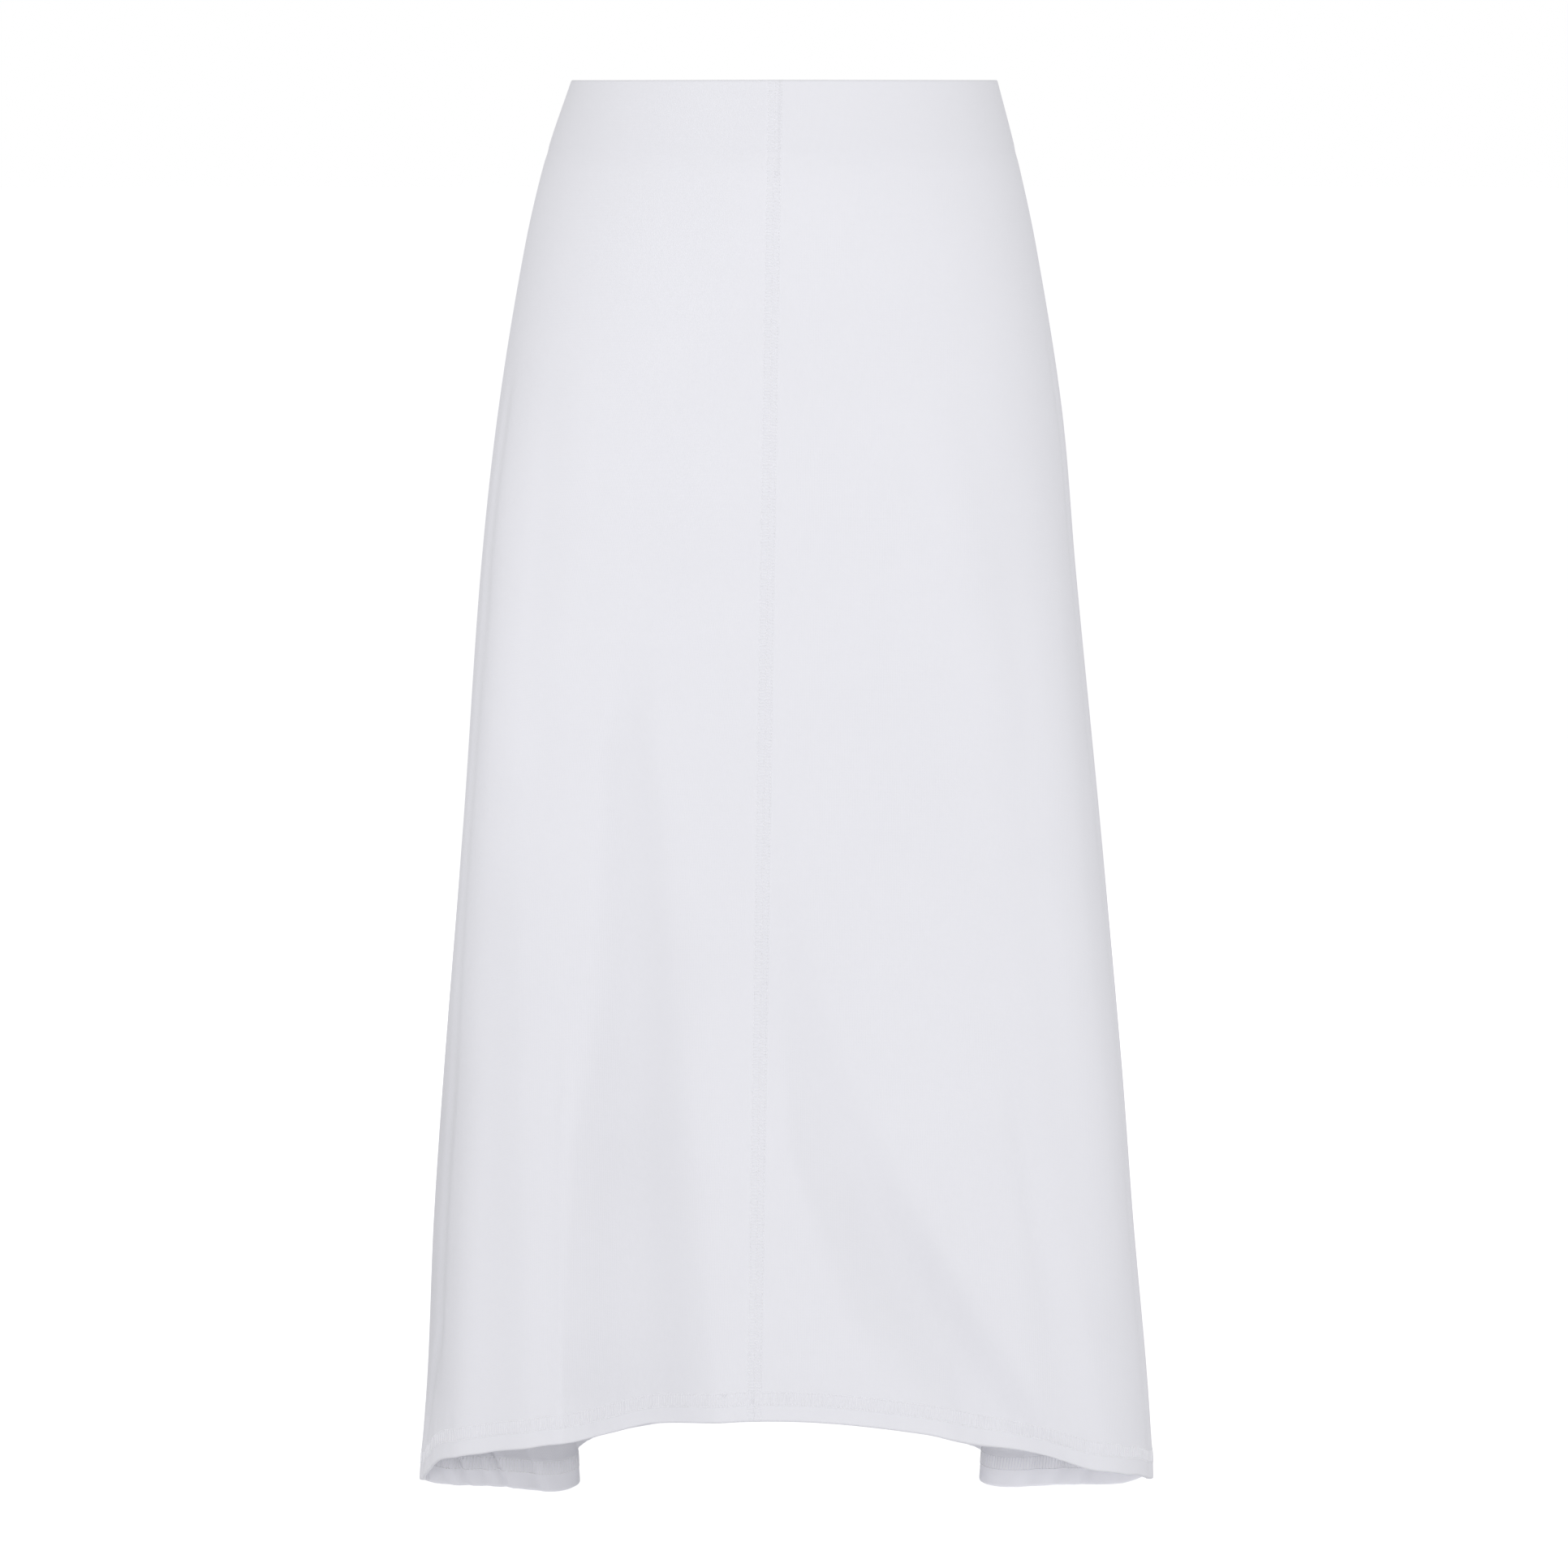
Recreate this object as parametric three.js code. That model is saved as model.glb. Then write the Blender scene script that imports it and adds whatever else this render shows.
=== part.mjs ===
// A white A-line midi skirt in stretch jersey, in its worn, hollow form.
// Millimetres. +X is the viewer's right, -Y the front, +Z up.
// The origin is the centre of the waist opening, level with the top edge.
import * as THREE from "three";

// Cloth and seams
const CLOTH = 1.2; // one layer of jersey
const DOUBLED = 2.4; // two layers, in the waistband and the turned-up hem
const SEAM_GAP = 0.3; // between neighbouring pieces
const BAND_HEIGHT = 44;
const HEM_TURN_UP = 18;

// The figure and the flare: half widths to either side, depths to the front and back.
const SECTIONS = [
  { z: 0, left: 130, right: 129, front: 97, back: 97 },
  { z: -44, left: 145, right: 140.5, front: 104, back: 107 },
  { z: -100, left: 158.5, right: 152.8, front: 110, back: 117 },
  { z: -200, left: 175, right: 169, front: 115, back: 126 },
  { z: -300, left: 186, right: 178, front: 116, back: 128 },
  { z: -450, left: 197, right: 193, front: 115, back: 130 },
  { z: -600, left: 210, right: 207, front: 113, back: 134 },
  { z: -700, left: 217.5, right: 215, front: 112, back: 137 },
  { z: -800, left: 222.3, right: 224.3, front: 111, back: 140 },
  { z: -880, left: 229, right: 229.5, front: 111, back: 142 },
];

// How flat the front and the back are: the exponent of the section, 2 is an ellipse.
const FLATNESS = [
  { z: 0, frontLeft: 2.1, frontRight: 2.1, back: 2.1 },
  { z: -44, frontLeft: 2.3, frontRight: 2.3, back: 2.15 },
  { z: -100, frontLeft: 2.6, frontRight: 2.5, back: 2.2 },
  { z: -200, frontLeft: 3.2, frontRight: 2.8, back: 2.3 },
  { z: -300, frontLeft: 3.8, frontRight: 3.0, back: 2.3 },
  { z: -450, frontLeft: 4.0, frontRight: 3.4, back: 2.3 },
  { z: -600, frontLeft: 3.2, frontRight: 3.8, back: 2.3 },
  { z: -700, frontLeft: 2.8, frontRight: 3.7, back: 2.3 },
  { z: -880, frontLeft: 2.4, frontRight: 3.6, back: 2.3 },
];

// The lower edge of the front: shortest at the centre, lowest at the side seams.
const FRONT_LENGTH = 808;
const FRONT_HEM_DROP = 47; // from the centre to the sides, as a wide curve
const FRONT_HEM_DROP_POWER = 2;
const FRONT_HEM_PEAK_X = -10; // the shortest place lies left of the middle
const CORNER_DROP = 11; // the last stretch before the side seam falls faster
const CORNER_DROP_POWER = 30;
const SIDE_LENGTH = FRONT_LENGTH + FRONT_HEM_DROP + CORNER_DROP;
const SIDE_SEAM_AT_HEM = 228; // from the middle to either side seam

// The lower edge of the back, from the right side seam to the left one: a wing turns in
// behind each side, folds at a ridge and runs back into one deep flute at the centre.
const BACK_HEM_TURNS = [
  { at: "right side seam", x: SIDE_SEAM_AT_HEM, y: 0, z: -SIDE_LENGTH },
  { at: "right corner", x: 227.8, y: 4, z: -867.5 },
  { at: "right corner, inner side", x: 222, y: 10, z: -870 },
  { at: "right wing, outer end", x: 210, y: 11, z: -872 },
  { at: "right wing", x: 172, y: 8, z: -872.5 },
  { at: "right wing, inner end", x: 133, y: 9, z: -874 },
  { at: "right ridge", x: 123.5, y: 18, z: -873 },
  { at: "right wall", x: 129, y: 60, z: -870 },
  { at: "flute, right shoulder", x: 123, y: 108, z: -870 },
  { at: "flute, right", x: 88, y: 152, z: -870 },
  { at: "flute, right crest", x: 46, y: 183, z: -869 },
  { at: "centre back hollow", x: -4, y: 177, z: -866 },
  { at: "flute, left crest", x: -54, y: 189, z: -868 },
  { at: "flute, left", x: -95, y: 170, z: -869 },
  { at: "flute, left shoulder", x: -127, y: 130, z: -869.5 },
  { at: "left wall", x: -137, y: 68, z: -872 },
  { at: "left ridge", x: -131, y: 18, z: -875 },
  { at: "left wing, inner end", x: -142, y: 9, z: -877 },
  { at: "left wing", x: -178, y: 7, z: -873.5 },
  { at: "left wing, outer end", x: -210, y: 11, z: -873 },
  { at: "left corner, inner side", x: -222, y: 10, z: -871 },
  { at: "left corner", x: -227.8, y: 4, z: -867.5 },
  { at: "left side seam", x: -SIDE_SEAM_AT_HEM, y: 0, z: -SIDE_LENGTH },
];
const BACK_FOLDS_START = 0.28; // share of the length at which the back begins to fold
const BACK_FOLDS_POWER = 1.5;

// Soft folds of the front, each from its upper end down to the hem. Depth is inwards.
// `swing` is 1 for a straight fold, more for one that leaves its upper line later.
const FRONT_FOLDS = [
  { top: 324, xTop: -95, xHem: -88, halfTop: 14, halfHem: 50, depth: 17, swing: 1 }, // left
  { top: 480, xTop: -4, xHem: 140, halfTop: 12, halfHem: 34, depth: 13, swing: 1.8 }, // right
  { top: 365, xTop: -172, xHem: -181, halfTop: 12, halfHem: 26, depth: 4, swing: 1 },
  { top: 560, xTop: 134, xHem: 178, halfTop: 10, halfHem: 26, depth: 4, swing: 1 },
];

// The centre front seam leans to the left on its way down.
const SEAM_X_TOP = -6;
const SEAM_X_HEM = -19;

// Mesh fineness
const PANEL_ROWS = 18;
const BAND_ROWS = 2;
const FRONT_COLUMNS = 20;
const BACK_COLUMNS = 28; // of each half
const TURNING_WEIGHT = 22; // mm of length that one radian of turning counts as, for spacing
const SPACING_SAMPLES = 600; // along a piece's lower edge, to place its columns
const CURVE_SAMPLES = 4000; // along the back hem, to measure its length
const STEP = 1e-4; // of a turn, for slopes

const JERSEY = { color: 0xe9e9ee, roughness: 0.92, metalness: 0 };

const mix = (a, b, t) => a + (b - a) * t;

// A smooth value between a table's rows at height z.
function valueAt(rows, key, z) {
  const last = rows.length - 1;
  let i = rows.findIndex((row, k) => k === last - 1 || z >= rows[k + 1].z);
  const slope = (k) => {
    const a = rows[Math.max(k - 1, 0)];
    const b = rows[Math.min(k + 1, last)];
    return (b[key] - a[key]) / (b.z - a.z);
  };
  const span = rows[i + 1].z - rows[i].z;
  const t = (z - rows[i].z) / span;
  const a = rows[i][key];
  const b = rows[i + 1][key];
  return (
    a * (2 * t ** 3 - 3 * t ** 2 + 1) +
    b * (3 * t ** 2 - 2 * t ** 3) +
    span * slope(i) * (t ** 3 - 2 * t ** 2 + t) +
    span * slope(i + 1) * (t ** 3 - t ** 2)
  );
}

const sectionValue = (key, z) => valueAt(SECTIONS, key, z);

// One turn runs 0 left side, 0.25 centre front, 0.5 right side, 0.75 centre back.
function bodyPoint(turn, z) {
  const angle = Math.PI * (1 + 2 * turn);
  const cos = Math.cos(angle);
  const sin = Math.sin(angle);
  const width = sectionValue(cos < 0 ? "left" : "right", z);
  const depth = sectionValue(sin < 0 ? "front" : "back", z);
  const frontFlatness = cos < 0 ? "frontLeft" : "frontRight";
  const n = valueAt(FLATNESS, sin < 0 ? frontFlatness : "back", z);
  const r = (Math.abs(cos / width) ** n + Math.abs(sin / depth) ** n) ** (-1 / n);
  return { x: r * cos, y: r * sin };
}

const backHem = new THREE.CatmullRomCurve3(
  BACK_HEM_TURNS.map(({ x, y, z }) => new THREE.Vector3(x, y, z)),
);
backHem.arcLengthDivisions = CURVE_SAMPLES;

function hemHeight(turn) {
  if (turn > 0.5) return backHem.getPointAt((turn - 0.5) / 0.5).z;
  const { x } = bodyPoint(turn, -SIDE_LENGTH);
  const seam = x < FRONT_HEM_PEAK_X ? bodyPoint(0, -SIDE_LENGTH).x : bodyPoint(0.5, -SIDE_LENGTH).x;
  const away = (x - FRONT_HEM_PEAK_X) / (seam - FRONT_HEM_PEAK_X);
  return -(
    FRONT_LENGTH +
    FRONT_HEM_DROP * away ** FRONT_HEM_DROP_POWER +
    CORNER_DROP * away ** CORNER_DROP_POWER
  );
}

// How far the front folds reach inwards at x, at height z above a hem at `hem`.
function frontFolds(x, z, hem) {
  let inwards = 0;
  for (const fold of FRONT_FOLDS) {
    const along = (-z - fold.top) / (-hem - fold.top);
    if (along <= 0) continue;
    const centre = mix(fold.xTop, fold.xHem, along ** fold.swing);
    const across = (x - centre) / mix(fold.halfTop, fold.halfHem, along);
    if (Math.abs(across) < 1) inwards += fold.depth * along * (1 - across ** 2) ** 2;
  }
  return inwards;
}

// The outer face of the skirt at a turn and a height.
function outerPoint(anyTurn, z) {
  const turn = ((anyTurn % 1) + 1) % 1;
  const body = bodyPoint(turn, z);
  const hem = hemHeight(turn);
  if (turn <= 0.5) {
    return new THREE.Vector3(body.x, body.y + frontFolds(body.x, z, hem), z);
  }
  const along = (z / hem - BACK_FOLDS_START) / (1 - BACK_FOLDS_START);
  const folded = along > 0 ? along ** BACK_FOLDS_POWER : 0;
  const turned = backHem.getPointAt((turn - 0.5) / 0.5);
  const narrowing = sectionValue(turned.x < 0 ? "left" : "right", z) / SIDE_SEAM_AT_HEM;
  return new THREE.Vector3(
    mix(body.x, turned.x * narrowing, folded),
    mix(body.y, turned.y, folded),
    z,
  );
}

function outwardNormal(turn, z) {
  const around = outerPoint(turn + STEP, z).sub(outerPoint(turn - STEP, z));
  const up = outerPoint(turn, z + 1).sub(outerPoint(turn, z - 1));
  return around.cross(up).normalize();
}

const lengthPerTurn = (turn, z) =>
  outerPoint(turn + STEP, z).distanceTo(outerPoint(turn - STEP, z)) / (2 * STEP);

// Shares from 0 to 1 across a piece, closer together where its lower edge turns.
function columnShares(from, to, count) {
  const fine = SPACING_SAMPLES;
  const points = [];
  for (let i = 0; i <= fine; i++) {
    const turn = mix(from, to, i / fine);
    points.push(outerPoint(turn, hemHeight(((turn % 1) + 1) % 1)));
  }
  const reach = [0];
  for (let i = 1; i <= fine; i++) {
    const here = points[i].clone().sub(points[i - 1]);
    const before = i > 1 ? points[i - 1].clone().sub(points[i - 2]) : here;
    reach.push(reach[i - 1] + here.length() + TURNING_WEIGHT * here.angleTo(before));
  }
  const shares = [0];
  for (let i = 1, k = 1; k < count; k++) {
    const wanted = (reach[fine] * k) / count;
    while (reach[i] < wanted) i++;
    shares.push((i - 1 + (wanted - reach[i - 1]) / (reach[i] - reach[i - 1])) / fine);
  }
  return [...shares, 1];
}

// A closed wall through a grid of rows, each a list of { outer, inner } points.
function wallGeometry(rows) {
  const columns = rows[0].length;
  const positions = [];
  for (const row of rows) {
    for (const { outer, inner } of row) positions.push(...outer, ...inner);
  }
  const vertex = (row, column, layer) => 2 * (row * columns + column) + layer;
  const index = [];
  const quad = (a, b, c, d) => index.push(a, b, c, a, c, d);
  const lastRow = rows.length - 1;
  const lastColumn = columns - 1;
  for (let i = 0; i < lastRow; i++) {
    for (let j = 0; j < lastColumn; j++) {
      quad(vertex(i, j, 0), vertex(i + 1, j, 0), vertex(i + 1, j + 1, 0), vertex(i, j + 1, 0));
      quad(vertex(i, j, 1), vertex(i, j + 1, 1), vertex(i + 1, j + 1, 1), vertex(i + 1, j, 1));
    }
    quad(vertex(i, 0, 0), vertex(i, 0, 1), vertex(i + 1, 0, 1), vertex(i + 1, 0, 0));
    quad(
      vertex(i, lastColumn, 1),
      vertex(i, lastColumn, 0),
      vertex(i + 1, lastColumn, 0),
      vertex(i + 1, lastColumn, 1),
    );
  }
  for (let j = 0; j < lastColumn; j++) {
    quad(vertex(0, j, 0), vertex(0, j + 1, 0), vertex(0, j + 1, 1), vertex(0, j, 1));
    quad(
      vertex(lastRow, j, 0),
      vertex(lastRow, j, 1),
      vertex(lastRow, j + 1, 1),
      vertex(lastRow, j + 1, 0),
    );
  }
  const geometry = new THREE.BufferGeometry();
  geometry.setAttribute("position", new THREE.Float32BufferAttribute(positions, 3));
  geometry.setIndex(index);
  geometry.computeVertexNormals();
  return geometry;
}

const leftSide = () => 0;
const rightSide = () => 0.5;
const centreBack = () => 0.75;
const leftSideAgain = () => 1;

// The centre front seam's place in the turn, from its distance off centre.
function centreFront(z) {
  const x = mix(SEAM_X_TOP, SEAM_X_HEM, -z / FRONT_LENGTH);
  return 0.25 + Math.atan2(x, sectionValue("front", z)) / (2 * Math.PI);
}

// Levels of one column: heights from top to bottom, and the wall's thickness at each.
function bandLevels() {
  const top = 0;
  const bottom = -BAND_HEIGHT + SEAM_GAP / 2;
  const levels = [];
  for (let i = 0; i <= BAND_ROWS; i++) {
    levels.push({ z: mix(top, bottom, i / BAND_ROWS), thick: DOUBLED });
  }
  return levels;
}

function panelLevels(turn) {
  const top = -BAND_HEIGHT - SEAM_GAP / 2;
  const hem = hemHeight(turn);
  const turnUp = hem + HEM_TURN_UP;
  const levels = [];
  for (let i = 0; i <= PANEL_ROWS; i++) {
    levels.push({ z: mix(top, turnUp + CLOTH / 2, i / PANEL_ROWS), thick: CLOTH });
  }
  levels.push({ z: turnUp, thick: DOUBLED });
  levels.push({ z: hem, thick: DOUBLED });
  return levels;
}

function sewnPiece(name, from, to, columns, levelsAt) {
  const low = -FRONT_LENGTH;
  const shares = columnShares(from(low), to(low), columns);
  const byColumn = shares.map((share) => {
    const typical = mix(from(low), to(low), share);
    return levelsAt(typical).map(({ z, thick }) => {
      const start = from(z) + SEAM_GAP / 2 / lengthPerTurn(from(z), z);
      const end = to(z) - SEAM_GAP / 2 / lengthPerTurn(to(z), z);
      const turn = mix(start, end, share);
      const outer = outerPoint(turn, z);
      const inner = outer.clone().addScaledVector(outwardNormal(turn, z), -thick);
      return { outer, inner };
    });
  });
  const rows = byColumn[0].map((_, i) => byColumn.map((column) => column[i]));
  const mesh = new THREE.Mesh(wallGeometry(rows), new THREE.MeshStandardMaterial(JERSEY));
  mesh.name = name;
  return mesh;
}

const skirt = new THREE.Group();
skirt.name = "skirt";
skirt.add(
  sewnPiece("waistband_front_left", leftSide, centreFront, FRONT_COLUMNS, bandLevels),
  sewnPiece("waistband_front_right", centreFront, rightSide, FRONT_COLUMNS, bandLevels),
  sewnPiece("waistband_back", rightSide, leftSideAgain, 2 * FRONT_COLUMNS, bandLevels),
  sewnPiece("front_left_panel", leftSide, centreFront, FRONT_COLUMNS, panelLevels),
  sewnPiece("front_right_panel", centreFront, rightSide, FRONT_COLUMNS, panelLevels),
  sewnPiece("back_right_panel", rightSide, centreBack, BACK_COLUMNS, panelLevels),
  sewnPiece("back_left_panel", centreBack, leftSideAgain, BACK_COLUMNS, panelLevels),
);

export default skirt;
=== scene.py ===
"""A white A-line midi skirt in stretch jersey, in its worn, hollow form."""

import math
from collections import namedtuple

import bpy
import numpy as np
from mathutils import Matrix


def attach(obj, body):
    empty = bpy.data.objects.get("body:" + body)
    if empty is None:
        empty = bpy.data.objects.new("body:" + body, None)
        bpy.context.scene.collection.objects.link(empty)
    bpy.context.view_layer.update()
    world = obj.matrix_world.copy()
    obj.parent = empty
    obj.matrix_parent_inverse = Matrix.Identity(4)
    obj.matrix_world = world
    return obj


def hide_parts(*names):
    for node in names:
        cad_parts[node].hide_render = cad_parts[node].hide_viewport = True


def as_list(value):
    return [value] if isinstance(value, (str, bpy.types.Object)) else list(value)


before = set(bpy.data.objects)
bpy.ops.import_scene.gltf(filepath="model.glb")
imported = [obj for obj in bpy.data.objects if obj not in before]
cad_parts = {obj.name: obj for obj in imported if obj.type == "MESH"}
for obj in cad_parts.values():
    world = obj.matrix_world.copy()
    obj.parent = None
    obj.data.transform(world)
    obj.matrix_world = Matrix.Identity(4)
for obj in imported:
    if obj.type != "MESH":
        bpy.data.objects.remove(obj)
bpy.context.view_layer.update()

# Lengths are millimetres until a mesh is made.
MM = 0.001

# Cloth and seams
CLOTH = 1.2  # one layer of jersey
DOUBLED = 2.4  # two layers, in the waistband
PRESSED_HEM = 1.9  # two layers in the turned-up hem, drawn together by its coverstitch
BAND_HEIGHT = 44
HEM_TURN_UP = 18.8
TURN_UP_STEP = 2.6  # height over which the raw edge inside the hem ends
JOIN_REACH = 7  # seam allowance inside, under the waistband

# The figure and the flare: half widths to either side, depths to the front and back.
Section = namedtuple("Section", "z left right front back")
SECTIONS = [
    Section(0, 130, 129, 97, 97),
    Section(-44, 145, 140.5, 104, 107),
    Section(-100, 158.5, 152.8, 110, 117),
    Section(-200, 175, 169, 115, 126),
    Section(-300, 186, 178, 116, 128),
    Section(-450, 197, 193, 115, 130),
    Section(-600, 210, 207, 113, 134),
    Section(-700, 217.5, 215, 112, 137),
    Section(-800, 222.3, 224.3, 111, 140),
    Section(-880, 229, 229.5, 111, 142),
]

# How flat the front and the back are: the exponent of the section, 2 is an ellipse.
Flatness = namedtuple("Flatness", "z front_left front_right back")
FLATNESS = [
    Flatness(0, 2.1, 2.1, 2.1),
    Flatness(-44, 2.3, 2.3, 2.15),
    Flatness(-100, 2.6, 2.5, 2.2),
    Flatness(-200, 3.2, 2.8, 2.3),
    Flatness(-300, 3.8, 3.0, 2.3),
    Flatness(-450, 4.0, 3.4, 2.3),
    Flatness(-600, 3.2, 3.8, 2.3),
    Flatness(-700, 2.8, 3.7, 2.3),
    Flatness(-880, 2.4, 3.6, 2.3),
]

# The lower edge of the front: shortest at the centre, lowest at the side seams.
FRONT_LENGTH = 808
FRONT_HEM_DROP = 47
FRONT_HEM_DROP_POWER = 2
FRONT_HEM_PEAK_X = -10
CORNER_DROP = 11
CORNER_DROP_POWER = 30
SIDE_LENGTH = FRONT_LENGTH + FRONT_HEM_DROP + CORNER_DROP
SIDE_SEAM_AT_HEM = 228
RIGHT_CORNER_LIFT = 5  # the right front corner hangs a little higher than the left one

# The front hem waves a little about that curve: lift at a place across it.
HemWave = namedtuple("HemWave", "x lift")
FRONT_HEM_WAVES = [
    HemWave(-228, 0),
    HemWave(-213, 6.0),
    HemWave(-201, 4.4),
    HemWave(-182, 2.2),
    HemWave(-152, 0),
    HemWave(-122, -2.2),
    HemWave(-104, -2.2),
    HemWave(-80, -0.4),
    HemWave(0, 0),
    HemWave(85, -0.8),
    HemWave(119, -3.2),
    HemWave(159, -1.6),
    HemWave(185, -2.6),
    HemWave(208, 0.4),
    HemWave(220, 3.4),
    HemWave(228, RIGHT_CORNER_LIFT),
]

# The lower edge of the back, from the right side seam to the left one: a wing turns in
# behind each side, folds at a ridge and runs back into one deep flute at the centre.
Turn = namedtuple("Turn", "at x y z")
BACK_HEM_TURNS = [
    Turn("right side seam", SIDE_SEAM_AT_HEM, 0, RIGHT_CORNER_LIFT - SIDE_LENGTH),
    Turn("right corner", 227.8, 4, -863.5),
    Turn("right corner, inner side", 222, 10, -868),
    Turn("right wing, outer end", 210, 11, -872),
    Turn("right wing", 172, 8, -872.5),
    Turn("right wing, inner end", 133, 9, -874),
    Turn("right ridge", 123.5, 18, -873),
    Turn("right wall", 129, 60, -870),
    Turn("flute, right shoulder", 123, 108, -870),
    Turn("flute, right", 88, 152, -870),
    Turn("flute, right crest", 46, 183, -869),
    Turn("centre back hollow", -4, 177, -866),
    Turn("flute, left crest", -54, 189, -868),
    Turn("flute, left", -95, 170, -869),
    Turn("flute, left shoulder", -127, 130, -869.5),
    Turn("left wall", -137, 68, -872),
    Turn("left ridge", -131, 18, -875),
    Turn("left wing, inner end", -142, 9, -877),
    Turn("left wing", -178, 7, -873.5),
    Turn("left wing, outer end", -210, 11, -873),
    Turn("left corner, inner side", -222, 10, -871),
    Turn("left corner", -227.8, 4, -867.5),
    Turn("left side seam", -SIDE_SEAM_AT_HEM, 0, -SIDE_LENGTH),
]
BACK_FOLDS_START = 0.28
BACK_FOLDS_POWER = 1.5
CURVE_SAMPLES = 200  # between two turns

# Soft folds of the front, each from its upper end down to the hem. Depth is inwards.
# Swing is 1 for a straight fold, more for one that leaves its upper line later.
Fold = namedtuple("Fold", "at top x_top x_hem half_top half_hem depth swing")
FRONT_FOLDS = [
    Fold("left valley", 324, -95, -88, 14, 50, 17, 1),
    Fold("right valley", 480, -4, 140, 14, 46, 12, 1.8),
    Fold("left side hollow", 365, -172, -181, 12, 26, 4, 1),
    Fold("right side hollow", 560, 134, 178, 10, 26, 4, 1),
]

# Lesser creases. x counts across the front, or along the cloth from the centre back seam.
# Depth is inwards, and a ridge has a negative one.
Crease = namedtuple("Crease", "at x_top z_top x_low z_low half_top half_low depth")
FRONT_CREASES = [
    Crease("left highlight", -120, -150, -143, -400, 20, 20, -1.1),
    Crease("left of the seam, upper", -44, -190, -60, -470, 16, 22, -0.5),
    Crease("left upper trough", -82, -230, -96, -430, 14, 16, 0.6),
    Crease("right highlight", 84, -160, 134, -430, 22, 24, -1.2),
    Crease("right of the seam, upper", 12, -380, -4, -530, 6, 8, 0.5),
    Crease("right mid trough", 62, -250, 76, -520, 16, 18, 0.5),
    Crease("left valley's outer edge", -132, -560, -139, -880, 7, 6, -0.9),
    Crease("left valley's inner edge", -50, -600, -34, -880, 12, 12, -0.6),
    Crease("right lower crease", 134, -600, 166, -770, 7, 11, 0.7),
    Crease("right lower ridge", 86, -640, 104, -880, 9, 9, -0.6),
    Crease("right of the seam, lower", 30, -560, 44, -830, 14, 16, -0.6),
    Crease("left hip crease", -100, -241, -52, -243, 2.2, 2.6, 0.3),
    Crease("right hip crease", 34, -84, 84, -86, 3, 4, 0.35),
    Crease("under the band, left", -118, -53, -20, -50, 4, 5, 0.4),
    Crease("under the band, right", 8, -50, 112, -55, 5, 4, 0.45),
    Crease("across the lap, left", -150, -330, -60, -338, 8, 10, -0.3),
    Crease("across the lap, right", 40, -300, 140, -292, 10, 8, -0.3),
]
BACK_CREASES = [
    Crease("seat, left", -70, -150, -84, -360, 24, 26, -1.2),
    Crease("seat, right", 66, -140, 80, -350, 24, 26, -1.1),
    Crease("centre hollow", 4, -110, -2, -300, 16, 18, 0.9),
    Crease("left trough", -118, -230, -132, -520, 14, 20, 0.9),
    Crease("right trough", 112, -250, 128, -500, 14, 18, 1.0),
    Crease("left long ridge", -36, -380, -46, -800, 12, 20, -1.2),
    Crease("right long ridge", 40, -420, 34, -800, 12, 18, -1.0),
    Crease("left lower trough", -92, -520, -104, -880, 12, 18, 1.4),
    Crease("right lower trough", 96, -480, 106, -880, 12, 20, 1.3),
    Crease("left side crease", -168, -420, -190, -880, 10, 18, -1.1),
    Crease("right side crease", 162, -460, 184, -880, 10, 16, -1.2),
    Crease("under the band, left", -130, -52, -24, -50, 4, 5, 0.45),
    Crease("under the band, right", 16, -50, 124, -54, 5, 4, 0.4),
    Crease("seat crease, left", -96, -318, -30, -310, 4, 5, 0.35),
    Crease("seat crease, right", 28, -306, 104, -322, 5, 4, 0.4),
    Crease("left wing, beside the ridge", -284, -800, -289, -940, 5, 5, -1.4),
    Crease("left wing, slanting", -314, -800, -301, -940, 4.5, 5, -2.0),
    Crease("left wing, middle", -320, -810, -318, -940, 4, 4.5, -1.3),
    Crease("left wing, outer", -332, -810, -331, -940, 4.5, 4.5, -1.5),
    Crease("left wing, by the corner", -345, -810, -343, -940, 4, 4, -1.0),
    Crease("right wing, inner", 284, -800, 282, -940, 6, 6, -1.0),
    Crease("right wing, middle", 300, -800, 300, -940, 6, 6, -1.5),
    Crease("right wing, outer", 319, -800, 316, -940, 5, 5, -1.3),
]
CREASE_ENDS = 0.22  # share of a crease's length over which each end dies away

# Beside each side seam the front dips and rises again, so the seam shows as a thin line.
SideDip = namedtuple("SideDip", "at z_top z_low from_seam_top from_seam_low half depth")
LEFT_SIDE_DIPS = [
    SideDip("left, upper", -165, -350, 56, 71, 9, 1.2),
    SideDip("left, middle", -290, -660, 71, 60, 9, 1.1),
    SideDip("left, lower", -580, -812, 62, 47, 9, 1.8),
    SideDip("left, down to the corner", -746, -900, 53, 8, 8, 1.9),
]
RIGHT_SIDE_DIPS = [
    SideDip("right, upper", -140, -360, 40, 45, 7, 1.0),
    SideDip("right, middle", -300, -700, 46, 54, 7, 0.8),
    SideDip("right, lower", -640, -920, 54, 46, 7, 1.2),
]

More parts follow.
